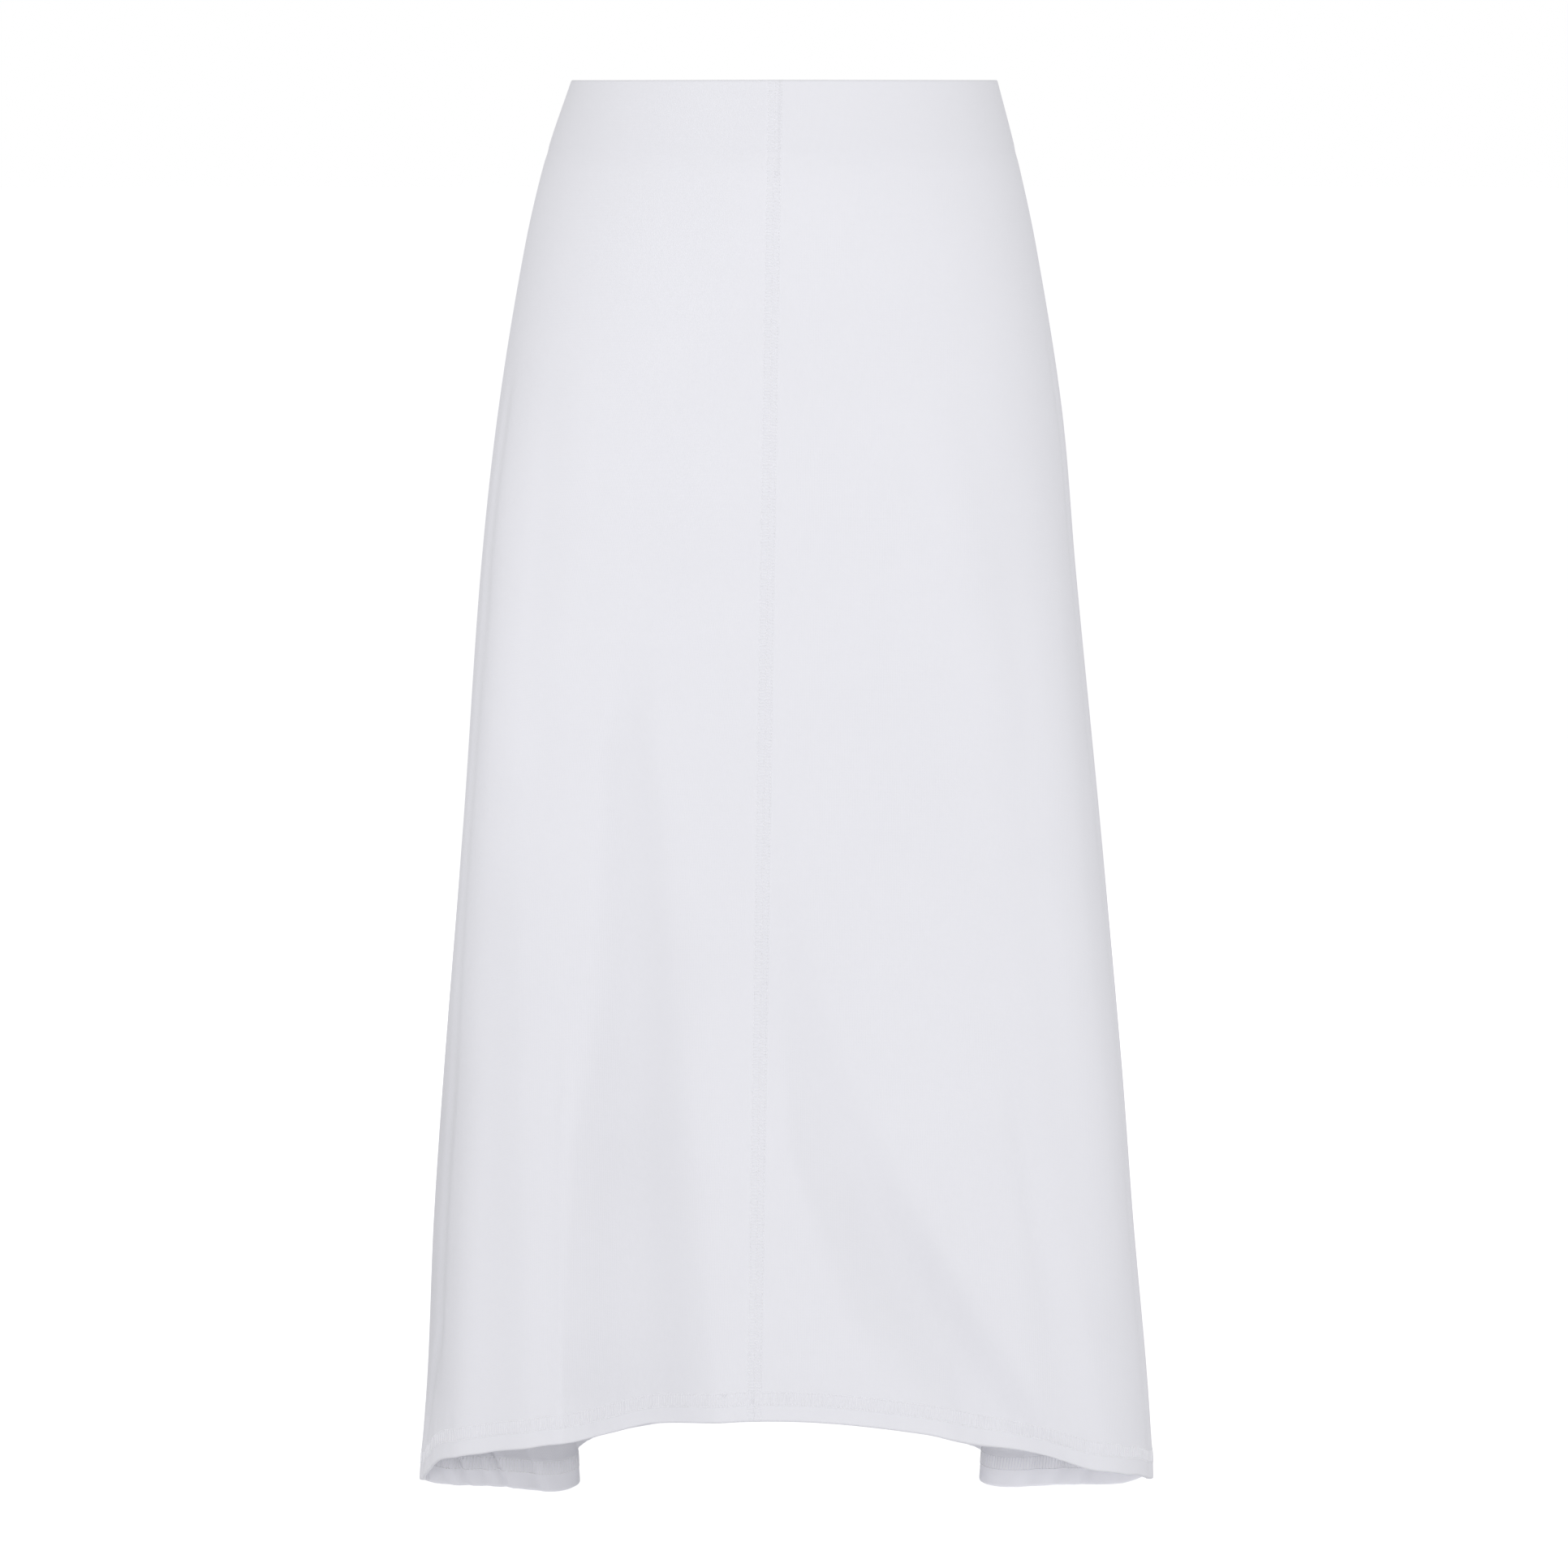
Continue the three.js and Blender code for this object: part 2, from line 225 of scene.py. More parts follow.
# Painted shade and painted light on the thin jersey of the front, for shading that the lights
# below don't give: darker over the two valleys, where it hangs over the hollow, along the left
# edge, between the flatlock's rungs, beside the band's stitching and along the band's top edge;
# lighter along the centre front seam and over two strips with another layer close behind. Each
# region has a left and a right limit, the width over which each fades in, and the share of tone
# it takes.
Shade = namedtuple("Shade", "z left right soft_left soft_right amount")
FRONT_PAINTED_SHADES = {
    # Painted shade over the left valley.
    "over the left valley": [
        Shade(-330, -100, -66, 10, 16, 0.0),
        Shade(-400, -112, -68, 10, 22, 0.018),
        Shade(-540, -120, -36, 22, 40, 0.026),
        Shade(-640, -136, -36, 14, 50, 0.046),
        Shade(-735, -137, -28, 5, 50, 0.034),
        Shade(-790, -137, -26, 4, 55, 0.052),
        Shade(-830, -137, -26, 4, 55, 0.02),
    ],
    # Painted shade over the right valley.
    "over the right valley": [
        Shade(-470, -6, 22, 6, 20, 0.0),
        Shade(-560, -4, 32, 6, 24, 0.012),
        Shade(-640, -2, 54, 8, 34, 0.026),
        Shade(-690, 12, 98, 18, 50, 0.034),
        Shade(-740, 28, 138, 22, 56, 0.03),
        Shade(-780, 56, 150, 30, 44, 0.018),
        Shade(-815, 80, 150, 30, 40, 0.0),
    ],
    # Painted light along the centre front seam.
    "along the centre front seam": [
        Shade(-50, -12, -2, 2, 2, -0.02),
        Shade(-430, -18, -8, 2, 2, -0.02),
        Shade(-800, -24, -14, 2, 2, -0.02),
    ],
    # Painted shade along the left edge.
    "left edge": [
        Shade(-440, -400, -168, 1, 28, 0.0),
        Shade(-560, -400, -176, 1, 30, 0.045),
        Shade(-600, -400, -178, 1, 30, 0.08),
        Shade(-640, -400, -180, 1, 30, 0.1),
        Shade(-740, -400, -186, 1, 32, 0.11),
        Shade(-800, -400, -188, 1, 32, 0.1),
        Shade(-850, -400, -190, 1, 32, 0.03),
    ],
    # Painted light: a lighter strip where another layer lies close behind.
    "painted light strip, left": [
        Shade(-140, -160, -122, 8, 18, 0.0),
        Shade(-250, -174, -128, 8, 24, -0.03),
        Shade(-400, -184, -138, 8, 26, -0.028),
        Shade(-500, -190, -146, 8, 26, 0.0),
    ],
    # Painted light: a lighter strip where another layer lies close behind.
    "painted light strip, right": [
        Shade(-220, 122, 164, 18, 8, 0.0),
        Shade(-330, 130, 172, 20, 8, -0.02),
        Shade(-500, 142, 186, 22, 8, -0.02),
        Shade(-660, 164, 204, 20, 8, -0.018),
        Shade(-760, 176, 210, 20, 8, 0.0),
    ],
    # Painted shade between the flatlock's rungs.
    "under the flatlock": [
        Shade(0, -10.2, -1.8, 0.6, 0.6, 0.024),
        Shade(-790, -22.9, -14.5, 0.6, 0.6, 0.024),
        Shade(-850, -23.8, -15.4, 0.6, 0.6, 0.024),
    ],
    # Painted shade: a thin dark line beside the band's stitching.
    "beside the band's stitching": [
        Shade(0, -3.7, -2.3, 0.5, 0.5, 0.07),
        Shade(-42, -4.2, -2.8, 0.5, 0.5, 0.06),
        Shade(-60, -4.4, -3, 0.5, 0.5, 0.03),
        Shade(-70, -4.5, -3.1, 0.5, 0.5, 0.0),
    ],
    # Painted shade along the fold of the band's top edge; below it the band is drawn a little
    # darker.
    "waistband": [
        Shade(0, -400, 400, 1, 1, 0.15),
        Shade(-1.4, -400, 400, 1, 1, 0.02),
        Shade(-40, -400, 400, 1, 1, 0.022),
        Shade(-56, -400, 400, 1, 1, 0.006),
        Shade(-100, -400, 400, 1, 1, 0.0),
    ],
}

# Painted shade along the fold at the hem's edge, drawn darker over a short height.
HEM_EDGE_PAINTED_SHADE = 0.11
HEM_EDGE_HEIGHT = 1.6

# Painted light inside the hollow: the wrong side of the jersey is drawn paler than the lights
# make it. On the wings, painted shade makes it less so on the left one, and more painted light
# makes it paler on the right one.
INSIDE_PAINTED_LIGHT = 1.12
INSIDE_PAINTED_SHADES = {
    "left wing": [
        Shade(-700, -400, -120, 1, 12, 0.0),
        Shade(-820, -400, -120, 1, 12, 0.1),
        Shade(-900, -400, -120, 1, 12, 0.1),
    ],
    "right wing": [
        Shade(-700, 120, 400, 12, 1, 0.0),
        Shade(-820, 120, 400, 12, 1, -0.07),
        Shade(-900, 120, 400, 12, 1, -0.07),
    ],
}

# The centre front seam leans to the left on its way down.
SEAM_X_TOP = -6
SEAM_X_HEM = -19

# Edges turn in over a short width, and seams draw the cloth in a little beside them.
FOLD_TURN = 1.2
SEAM_TURN = 0.45
TURNED_SHARE = 0.96  # how much of the half thickness an edge turns in
SEAM_DIP = 0.3
SEAM_DIP_HALF = 3.2
BAND_SEAM_DIP = 0.3
BAND_SEAM_DIP_HALF = 5.5

# Flatlock over the centre front seam: three needle lines, two columns of rungs.
FLATLOCK_COLUMN = 4.0
FLATLOCK_RISE = 0.12
FLATLOCK_PITCH = 2.0
FLATLOCK_SLANT = 0.42  # drop of a right-hand rung over its width
FLATLOCK_MARGIN = 1  # how far the raised strip reaches past the needle lines
FLATLOCK_FADE = 1.2  # width over which the raised strip falls away
FLATLOCK_NEEDLE = 0.86  # length of a needle stitch, as a share of the pitch
FLATLOCK_UNEVEN = (0.94, 1.06)  # shortest and longest rung, as shares of the column
RUNG_TILT = 0.05  # spread of the rungs' lean, in the coverstitch too

# Coverstitch of the hem: two needle lines, rungs between them.
COVER_LOW = 10.4  # above the hem's edge
COVER_HIGH = 18.2
COVER_PITCH = 1.75
COVER_NEEDLE = 0.9  # length of a needle stitch, as a share of the pitch
COVER_UNEVEN = (0.95, 1.02)  # shortest and longest rung, as shares of the lines' distance
COVER_LEAN = 0.04  # of the rungs, on average

# The coverstitch draws the hem into small puckers: waves along it that add up.
PUCKER = 0.34
PUCKER_FADE = 13  # above and below the stitching
PUCKER_SWELL = 0.45  # share that comes and goes along the hem
PUCKER_SWELL_LENGTH = 23
PuckerWave = namedtuple("PuckerWave", "length shift share")
PUCKER_WAVES = [
    PuckerWave(1.31, 0, 1),
    PuckerWave(2.17, 1.3, 0.8),
    PuckerWave(4.9, 0.6, 0.9),
]

# Sewing thread
THREAD = 0.17  # radius
THREAD_SINK = 0.03  # how deep the thread beds into the jersey
RING_STITCHES = 10
RING_OVERLAP = 1.15  # length of a ring's stitch, as a multiple of its share of the circle

# Cloth mesh: levels above the hem's edge and below a top edge, closest where the form turns.
TOP_STEPS = [0, 0.2, 0.6, 1.1, 1.8, 2.8, 4.2, 6, 8.5]
HEM_STEPS = [24, 21.5, 19.6, 19.3, 18.8, 18.3, 17, 15.5, 14, 12.5, 11, 9.5, 8]
HEM_STEPS += [6.5, 5, 3.6, 2.4, 1.6, 1.0, 0.5, 0.2, 0]
EDGE_CLOSENESS = 3.5  # how many more columns there are at a piece's edges
EDGE_REACH = 5.0
TURNING_WEIGHT = 22  # mm of length that one radian of turning counts as, for spacing
SPACING_SAMPLES = 900
SMALLEST_STEP = 1e-5  # smallest length to divide by
BAND_ROWS = 10  # between the close levels at the band's two edges

CF = "centre front"
LEFT = "left side"
RIGHT = "right side"
BACK = "centre back"
LEFT_AGAIN = "left side again"
SEAM_TURNS = {LEFT: 0.0, RIGHT: 0.5, BACK: 0.75, LEFT_AGAIN: 1.0}
PUCKER_STARTS = {CF: 7, BACK: 3}  # moves a piece's puckers on, so that halves differ


def mix(a, b, t):
    return a + (b - a) * t


def smooth(t):
    t = np.clip(t, 0, 1)
    return t * t * (3 - 2 * t)


def value_at(rows, key, z):
    """A smooth value between a table's rows at height z."""
    heights = np.array([row.z for row in rows], float)
    values = np.array([getattr(row, key) for row in rows], float)
    last = len(rows) - 1
    before = np.maximum(np.arange(last + 1) - 1, 0)
    after = np.minimum(np.arange(last + 1) + 1, last)
    slopes = (values[after] - values[before]) / (heights[after] - heights[before])
    i = np.clip(np.searchsorted(-heights, -np.asarray(z), side="right") - 1, 0, last - 1)
    span = heights[i + 1] - heights[i]
    t = (z - heights[i]) / span
    return (
        values[i] * (2 * t**3 - 3 * t**2 + 1)
        + values[i + 1] * (3 * t**2 - 2 * t**3)
        + span * slopes[i] * (t**3 - 2 * t**2 + t)
        + span * slopes[i + 1] * (t**3 - t**2)
    )


def section_value(key, z):
    return value_at(SECTIONS, key, z)


def body_point(turn, z):
    """One turn runs 0 left side, 0.25 centre front, 0.5 right side, 0.75 centre back."""
    angle = math.pi * (1 + 2 * turn)
    cos, sin = np.cos(angle), np.sin(angle)
    width = np.where(cos < 0, section_value("left", z), section_value("right", z))
    depth = np.where(sin < 0, section_value("front", z), section_value("back", z))
    front_left = value_at(FLATNESS, "front_left", z)
    front_right = value_at(FLATNESS, "front_right", z)
    front = np.where(cos < 0, front_left, front_right)
    power = np.where(sin < 0, front, value_at(FLATNESS, "back", z))
    reach = (np.abs(cos / width) ** power + np.abs(sin / depth) ** power) ** (-1 / power)
    return reach * cos, reach * sin


def back_hem_line():
    """The back's lower edge as close points, by centripetal curves through its turns."""
    turns = np.array([(turn.x, turn.y, turn.z) for turn in BACK_HEM_TURNS], float)
    turns = np.vstack([2 * turns[0] - turns[1], turns, 2 * turns[-1] - turns[-2]])
    t = np.linspace(0, 1, CURVE_SAMPLES, endpoint=False)[:, None]
    line = []
    for a, b, c, d in zip(turns, turns[1:], turns[2:], turns[3:]):
        g0, g1, g2 = (np.linalg.norm(q - p) ** 0.5 for p, q in ((a, b), (b, c), (c, d)))
        leave = ((b - a) / g0 - (c - a) / (g0 + g1) + (c - b) / g1) * g1
        arrive = ((c - b) / g1 - (d - b) / (g1 + g2) + (d - c) / g2) * g1
        cubic = 2 * b - 2 * c + leave + arrive
        square = -3 * b + 3 * c - 2 * leave - arrive
        line.append(b + t * (leave + t * (square + t * cubic)))
    line = np.vstack([*line, turns[-2][None]])
    reach = np.r_[0, np.cumsum(np.linalg.norm(np.diff(line, axis=0), axis=1))]
    return line, reach / reach[-1]


BACK_LINE, BACK_REACH = back_hem_line()


def back_hem(turn):
    share = np.clip((turn - 0.5) / 0.5, 0, 1)
    return [np.interp(share, BACK_REACH, BACK_LINE[:, k]) for k in range(3)]


def front_hem(turn):
    x, _ = body_point(turn, -SIDE_LENGTH)
    left, _ = body_point(0.0, -SIDE_LENGTH)
    right, _ = body_point(0.5, -SIDE_LENGTH)
    seam = np.where(x < FRONT_HEM_PEAK_X, left, right)
    away = np.clip((x - FRONT_HEM_PEAK_X) / (seam - FRONT_HEM_PEAK_X), 0, 1)
    level = FRONT_LENGTH + FRONT_HEM_DROP * away**FRONT_HEM_DROP_POWER
    level = level + CORNER_DROP * away**CORNER_DROP_POWER
    return wave_lift(x) - level


def wave_lift(x):
    """The front hem's waves, as a smooth line through FRONT_HEM_WAVES."""
    places = np.array([wave.x for wave in FRONT_HEM_WAVES], float)
    lifts = np.array([wave.lift for wave in FRONT_HEM_WAVES], float)
    i = np.clip(np.searchsorted(places, x, side="right") - 1, 0, len(places) - 2)
    return mix(lifts[i], lifts[i + 1], smooth((x - places[i]) / (places[i + 1] - places[i])))


def hem_height(turn):
    turn = np.asarray(turn, float)
    return np.where(turn <= 0.5, front_hem(np.minimum(turn, 0.5)), back_hem(turn)[2])


def front_folds(x, z, hem):
    inwards = np.zeros_like(x)
    for fold in FRONT_FOLDS:
        along = np.maximum((-z - fold.top) / (-hem - fold.top), 0)
        centre = mix(fold.x_top, fold.x_hem, along**fold.swing)
        across = np.clip((x - centre) / mix(fold.half_top, fold.half_hem, along), -1, 1)
        inwards = inwards + fold.depth * along * (1 - across**2) ** 2
    return inwards


def form(turn, z):
    """The outer face of the skirt at a turn and a height, without its lesser creases."""
    x, y = body_point(turn, z)
    hem = hem_height(turn)
    front = np.stack([x, y + front_folds(x, z, hem), z], axis=-1)
    along = np.clip((z / hem - BACK_FOLDS_START) / (1 - BACK_FOLDS_START), 0, 2)
    folded = along**BACK_FOLDS_POWER
    turned_x, turned_y, _ = back_hem(turn)
    side = np.where(turned_x < 0, section_value("left", z), section_value("right", z))
    narrowed = turned_x * side / SIDE_SEAM_AT_HEM
    back = np.stack([mix(x, narrowed, folded), mix(y, turned_y, folded), z], axis=-1)
    return np.where((turn <= 0.5)[..., None], front, back)


def seam_turn(seam, z):
    if seam != CF:
        return np.full_like(z, SEAM_TURNS[seam])
    x = mix(SEAM_X_TOP, SEAM_X_HEM, -z / FRONT_LENGTH)
    return 0.25 + np.arctan2(x, section_value("front", z)) / (2 * math.pi)


def creases_at(creases, x, z):
    """How far inwards creases reach, each a soft trough along a straight line."""
    inwards = np.zeros_like(x)
    for crease in creases:
        run = np.array([crease.x_low - crease.x_top, crease.z_low - crease.z_top], float)
        length = np.hypot(*run)
        run /= length
        along = ((x - crease.x_top) * run[0] + (z - crease.z_top) * run[1]) / length
        off = (x - crease.x_top) * run[1] - (z - crease.z_top) * run[0]
        half = mix(crease.half_top, crease.half_low, np.clip(along, 0, 1))
        across = np.clip(off / half, -1, 1)
        ends = smooth(along / CREASE_ENDS) * smooth((1 - along) / CREASE_ENDS)
        inwards = inwards + crease.depth * ends * (1 - across**2) ** 2
    return inwards


def side_dips_at(dips, from_seam, z):
    inwards = np.zeros_like(z)
    for dip in dips:
        along = (dip.z_top - z) / (dip.z_top - dip.z_low)
        centre = mix(dip.from_seam_top, dip.from_seam_low, along)
        across = np.clip((from_seam - centre) / dip.half, -1, 1)
        ends = smooth(along / CREASE_ENDS) * smooth((1 - along) / CREASE_ENDS)
        inwards = inwards + dip.depth * ends * (1 - across**2) ** 2
    return inwards


def painted_shades_at(shades, x, z):
    """How much painted shade the cloth takes; a negative amount is painted light."""
    painted_shade = np.zeros_like(x)
    for rows in shades.values():
        levels = -np.array([row.z for row in rows], float)
        left, right, soft_left, soft_right, amount = (
            np.interp(-z, levels, [getattr(row, key) for row in rows])
            for key in Shade._fields[1:]
        )
        inside = smooth((x - left) / soft_left) * smooth((right - x) / soft_right)
        painted_shade = painted_shade + amount * inside
    return painted_shade


def grid_normals(points):
    """Outward directions of a grid whose rows run down and whose columns run round."""
    normals = np.cross(np.gradient(points, axis=0), np.gradient(points, axis=1))
    return normals / np.linalg.norm(normals, axis=-1, keepdims=True)


def column_shares(start, end, count):
    """Shares across a piece, closer together at its edges and where its lower edge turns."""
    turns = np.linspace(start, end, SPACING_SAMPLES + 1)
    line = form(turns, hem_height(turns))
    steps = np.diff(line, axis=0)
    lengths = np.maximum(np.linalg.norm(steps, axis=1), SMALLEST_STEP)
    directions = steps / lengths[:, None]
    bends = np.arccos(np.clip(np.sum(directions[1:] * directions[:-1], axis=1), -1, 1))
    reach = np.cumsum(lengths) - lengths / 2
    edge = np.minimum(reach, lengths.sum() - reach)
    weights = lengths * (1 + EDGE_CLOSENESS * np.exp(-((edge / EDGE_REACH) ** 2)))
    weights[1:] += TURNING_WEIGHT * bends
    total = np.r_[0, np.cumsum(weights)]
    return np.interp(np.linspace(0, total[-1], count + 1), total, np.linspace(0, 1, len(total)))


def rounded(share):
    """A quarter round: 1 at an edge, 0 from the end of its turn on."""
    near = 1 - np.clip(share, 0, 1)
    return 1 - np.sqrt(np.maximum(1 - near**2, 0))


class Cloth:
    """One sewn piece: its outer and inner faces as grids of points."""

    def __init__(self, start, end, columns, levels, is_band):
        low = np.array(-FRONT_LENGTH, float)
        shares = column_shares(seam_turn(start, low), seam_turn(end, low), columns)
        typical = mix(seam_turn(start, low), seam_turn(end, low), shares)
        self.z = levels(typical)
        turn = mix(seam_turn(start, self.z), seam_turn(end, self.z), shares[None, :])
        self.turn = turn
        self.start, self.end, self.is_band = start, end, is_band
        base = form(turn, self.z)
        steps = np.linalg.norm(np.diff(base, axis=1), axis=2)
        first_column = np.zeros((len(base), 1))
        self.from_start = np.hstack([first_column, np.cumsum(steps, axis=1)])
        self.from_end = self.from_start[:, -1:] - self.from_start
        self.above_hem = self.z - hem_height(typical)[None, :]
        points = base - grid_normals(base) * self.inwards(base)[..., None]
        self.normals = grid_normals(points)
        self.thick = self.thickness()
        # Painted shade and light: over the front's regions and along every hem's edge outside,
        # paler inside.
        self.painted_shade = painted_shades_at(FRONT_PAINTED_SHADES, base[..., 0], self.z) * self.is_front()
        self.painted_shade += HEM_EDGE_PAINTED_SHADE * (1 - smooth(self.above_hem / HEM_EDGE_HEIGHT))
        self.inside_painted_light = INSIDE_PAINTED_LIGHT - painted_shades_at(INSIDE_PAINTED_SHADES, base[..., 0], self.z)
        half = TURNED_SHARE * self.thick / 2
        turned = np.maximum.reduce([half * rounded(away / reach) for away, reach in self.edges()])
        self.outer = points - self.normals * turned[..., None]
        self.inner = points - self.normals * (self.thick - turned)[..., None]

    def edges(self):
        """Edges that turn in: the distance from each, and the width of its turn."""
        folded = self.z[:1] - self.z if self.is_band else self.z - self.z[-1:]
        edges = [(folded, FOLD_TURN)]
        for seam, away in ((self.start, self.from_start), (self.end, self.from_end)):
            if seam != CF:
                edges.append((away, SEAM_TURN))
        return edges

    def thickness(self):
        if self.is_band:
            return np.full_like(self.z, DOUBLED)
        turned_up = smooth((HEM_TURN_UP + TURN_UP_STEP - self.above_hem) / TURN_UP_STEP)
        joined = smooth(1 - (-BAND_HEIGHT - self.z) / JOIN_REACH)
        return np.maximum(mix(CLOTH, PRESSED_HEM, turned_up), mix(CLOTH, DOUBLED, joined))

    def is_front(self):
        return CF in (self.start, self.end)

    def inwards(self, base):
        """All the small relief, as a depth below the plain form."""
        x = base[..., 0]
        if self.is_front():
            depth = creases_at(FRONT_CREASES, x, self.z)
        else:
            depth = creases_at(BACK_CREASES, self.from_back_seam(), self.z)
        if self.start == LEFT:
            depth = depth + side_dips_at(LEFT_SIDE_DIPS, self.from_start, self.z)
        if self.end == RIGHT:
            depth = depth + side_dips_at(RIGHT_SIDE_DIPS, self.from_end, self.z)
        for seam, away in ((self.start, self.from_start), (self.end, self.from_end)):
            if seam == CF:
                strip = FLATLOCK_COLUMN + FLATLOCK_MARGIN - away
                depth = depth - FLATLOCK_RISE * smooth(strip / FLATLOCK_FADE)
            else:
                depth = depth + SEAM_DIP * (1 - smooth(away / SEAM_DIP_HALF))
        band_seam = np.abs(self.z + BAND_HEIGHT)
        depth = depth + BAND_SEAM_DIP * (1 - smooth(band_seam / BAND_SEAM_DIP_HALF))
        if not self.is_band:
            depth = depth + self.puckers()
        return depth

    def from_back_seam(self):
        if self.end == BACK:
            return self.from_end
        if self.start == BACK:
            return -self.from_start
        middle = 0.5 * self.from_start[:, -1:]
        return middle - self.from_start

    def puckers(self):
        """Small uneven puckers that the coverstitch draws into the hem."""
        along = self.from_start + PUCKER_STARTS.get(self.start, 0)
        middle = (COVER_LOW + COVER_HIGH) / 2
        near = np.exp(-(((self.above_hem - middle) / PUCKER_FADE) ** 2))
        waves = sum(wave.share * np.sin(along / wave.length + wave.shift) for wave in PUCKER_WAVES)
        swell = 1 - PUCKER_SWELL + PUCKER_SWELL * np.sin(along / PUCKER_SWELL_LENGTH)
        return PUCKER * near * waves * swell

    def at(self, row, column, inside=False):
        """Place, outward direction, way round and way down at fractional grid places."""
        face = self.inner if inside else self.outer
        i = np.clip(np.floor(row).astype(int), 0, face.shape[0] - 2)
        j = np.clip(np.floor(column).astype(int), 0, face.shape[1] - 2)
        u, v = (row - i)[:, None], (column - j)[:, None]
        a, b, c, d = face[i, j], face[i, j + 1], face[i + 1, j], face[i + 1, j + 1]
        place = mix(mix(a, b, v), mix(c, d, v), u)
        around = unit(mix(b - a, d - c, u))
        down = unit(mix(c - a, d - b, v))
        outward = unit(np.cross(down, around))
        return place, (-outward if inside else outward), around, down


def unit(vectors):
    return vectors / np.linalg.norm(vectors, axis=-1, keepdims=True)


def band_levels(turn):
    low = -np.array(TOP_STEPS, float)
    middle = np.linspace(low[-1], -BAND_HEIGHT - low[-1], BAND_ROWS)[1:-1]
    levels = np.r_[low, middle, (-BAND_HEIGHT - low)[::-1]]
    return np.repeat(levels[:, None], len(turn), axis=1)


def panel_levels(rows):
    def levels(turn):
        hem = hem_height(turn)
        top = -BAND_HEIGHT - np.array(TOP_STEPS, float)
        upper = np.repeat(top[:, None], len(turn), axis=1)
        share = np.linspace(0, 1, rows)[1:-1, None]
        middle = mix(top[-1], hem[None, :] + HEM_STEPS[0], share)
        lower = hem[None, :] + np.array(HEM_STEPS, float)[:, None]
        return np.vstack([upper, middle, lower])

    return levels


def cloth_mesh(name, cloth):
    """A closed thin shell: outer face, inner face and the narrow edge between them."""
    rows, columns = cloth.z.shape
    count = rows * columns
    outer = np.arange(count).reshape(rows, columns)
    inner = outer + count
    points = np.vstack([cloth.outer.reshape(-1, 3), cloth.inner.reshape(-1, 3)])

    def quads(ids):
        corners = (ids[:-1, :-1], ids[1:, :-1], ids[1:, 1:], ids[:-1, 1:])
        return np.stack([corner.ravel() for corner in corners], axis=1)

    ring = np.r_[outer[0, :-1], outer[:-1, -1], outer[-1, :0:-1], outer[:0:-1, 0]]
    after = np.roll(ring, -1)
    rim = np.stack([ring, after, after + count, ring + count], axis=1)
    faces = np.vstack([quads(outer), quads(inner)[:, ::-1], rim])
    mesh = bpy.data.meshes.new(name)
    mesh.from_pydata((points * MM).tolist(), [], faces.tolist())

    on_ring = np.zeros(2 * count, bool)
    on_ring[np.r_[ring, ring + count]] = True
    ends = np.zeros(2 * len(mesh.edges), int)
    mesh.edges.foreach_get("vertices", ends)
    ends = ends.reshape(-1, 2)
    same_face = (ends[:, 0] < count) == (ends[:, 1] < count)
    sharp = mesh.attributes.new("sharp_edge", "BOOLEAN", "EDGE")
    sharp.data.foreach_set("value", on_ring[ends].all(axis=1) & same_face)

    flat = np.stack([cloth.from_start, cloth.z], axis=-1).reshape(-1, 2) * MM
    uv = mesh.uv_layers.new(name="cut")
    uv.data.foreach_set("uv", np.vstack([flat, flat])[faces.ravel()].ravel())
    # The tone attribute carries the painted shade outside and the painted light inside into the
    # material.
    tone = mesh.attributes.new("tone", "FLOAT", "POINT")
    tone.data.foreach_set("value", np.r_[1 - cloth.painted_shade.ravel(), cloth.inside_painted_light.ravel()])
    mesh.polygons.foreach_set("use_smooth", np.ones(len(faces), bool))
    mesh.update()
    piece = bpy.data.objects.new(name, mesh)
    bpy.context.scene.collection.objects.link(piece)
    return piece


# Thread

STITCH_SIDES = 5
StitchStep = namedtuple("StitchStep", "forward rise swell")
STITCH_STEPS = [
    StitchStep(0.2, 0.9, 1.15),
    StitchStep(0.3, 0.15, 1.05),
    StitchStep(0.3, -0.15, 0.95),
    StitchStep(0.2, -0.9, 0.87),
]


def stitch_shape():
    """One stitch of unit length, arched over the cloth, in thread radii across and up."""
    bpy.ops.object.select_all(action="DESELECT")
    bpy.ops.mesh.primitive_circle_add(
        vertices=STITCH_SIDES,
        radius=1,
        fill_type="NGON",
        location=(-0.5, 0, 0),
        rotation=(0, math.pi / 2, 0),
    )
    stitch = bpy.context.object
    bpy.ops.object.transform_apply(location=True, rotation=True, scale=True)
    bpy.ops.object.mode_set(mode="EDIT")
    bpy.ops.mesh.select_all(action="SELECT")
    for step in STITCH_STEPS:
        bpy.ops.mesh.extrude_region_move(
            TRANSFORM_OT_translate={"value": (step.forward, 0, step.rise)}
        )
        bpy.ops.transform.resize(value=(1, step.swell, step.swell))
    bpy.ops.mesh.select_all(action="SELECT")
    bpy.ops.mesh.normals_make_consistent(inside=False)
    bpy.ops.object.mode_set(mode="OBJECT")
    mesh = stitch.data
    points = np.array([tuple(vertex.co) for vertex in mesh.vertices])
    faces = [tuple(face.vertices) for face in mesh.polygons]
    bpy.data.objects.remove(stitch)
    return points, faces


STITCH_POINTS, STITCH_FACES = stitch_shape()


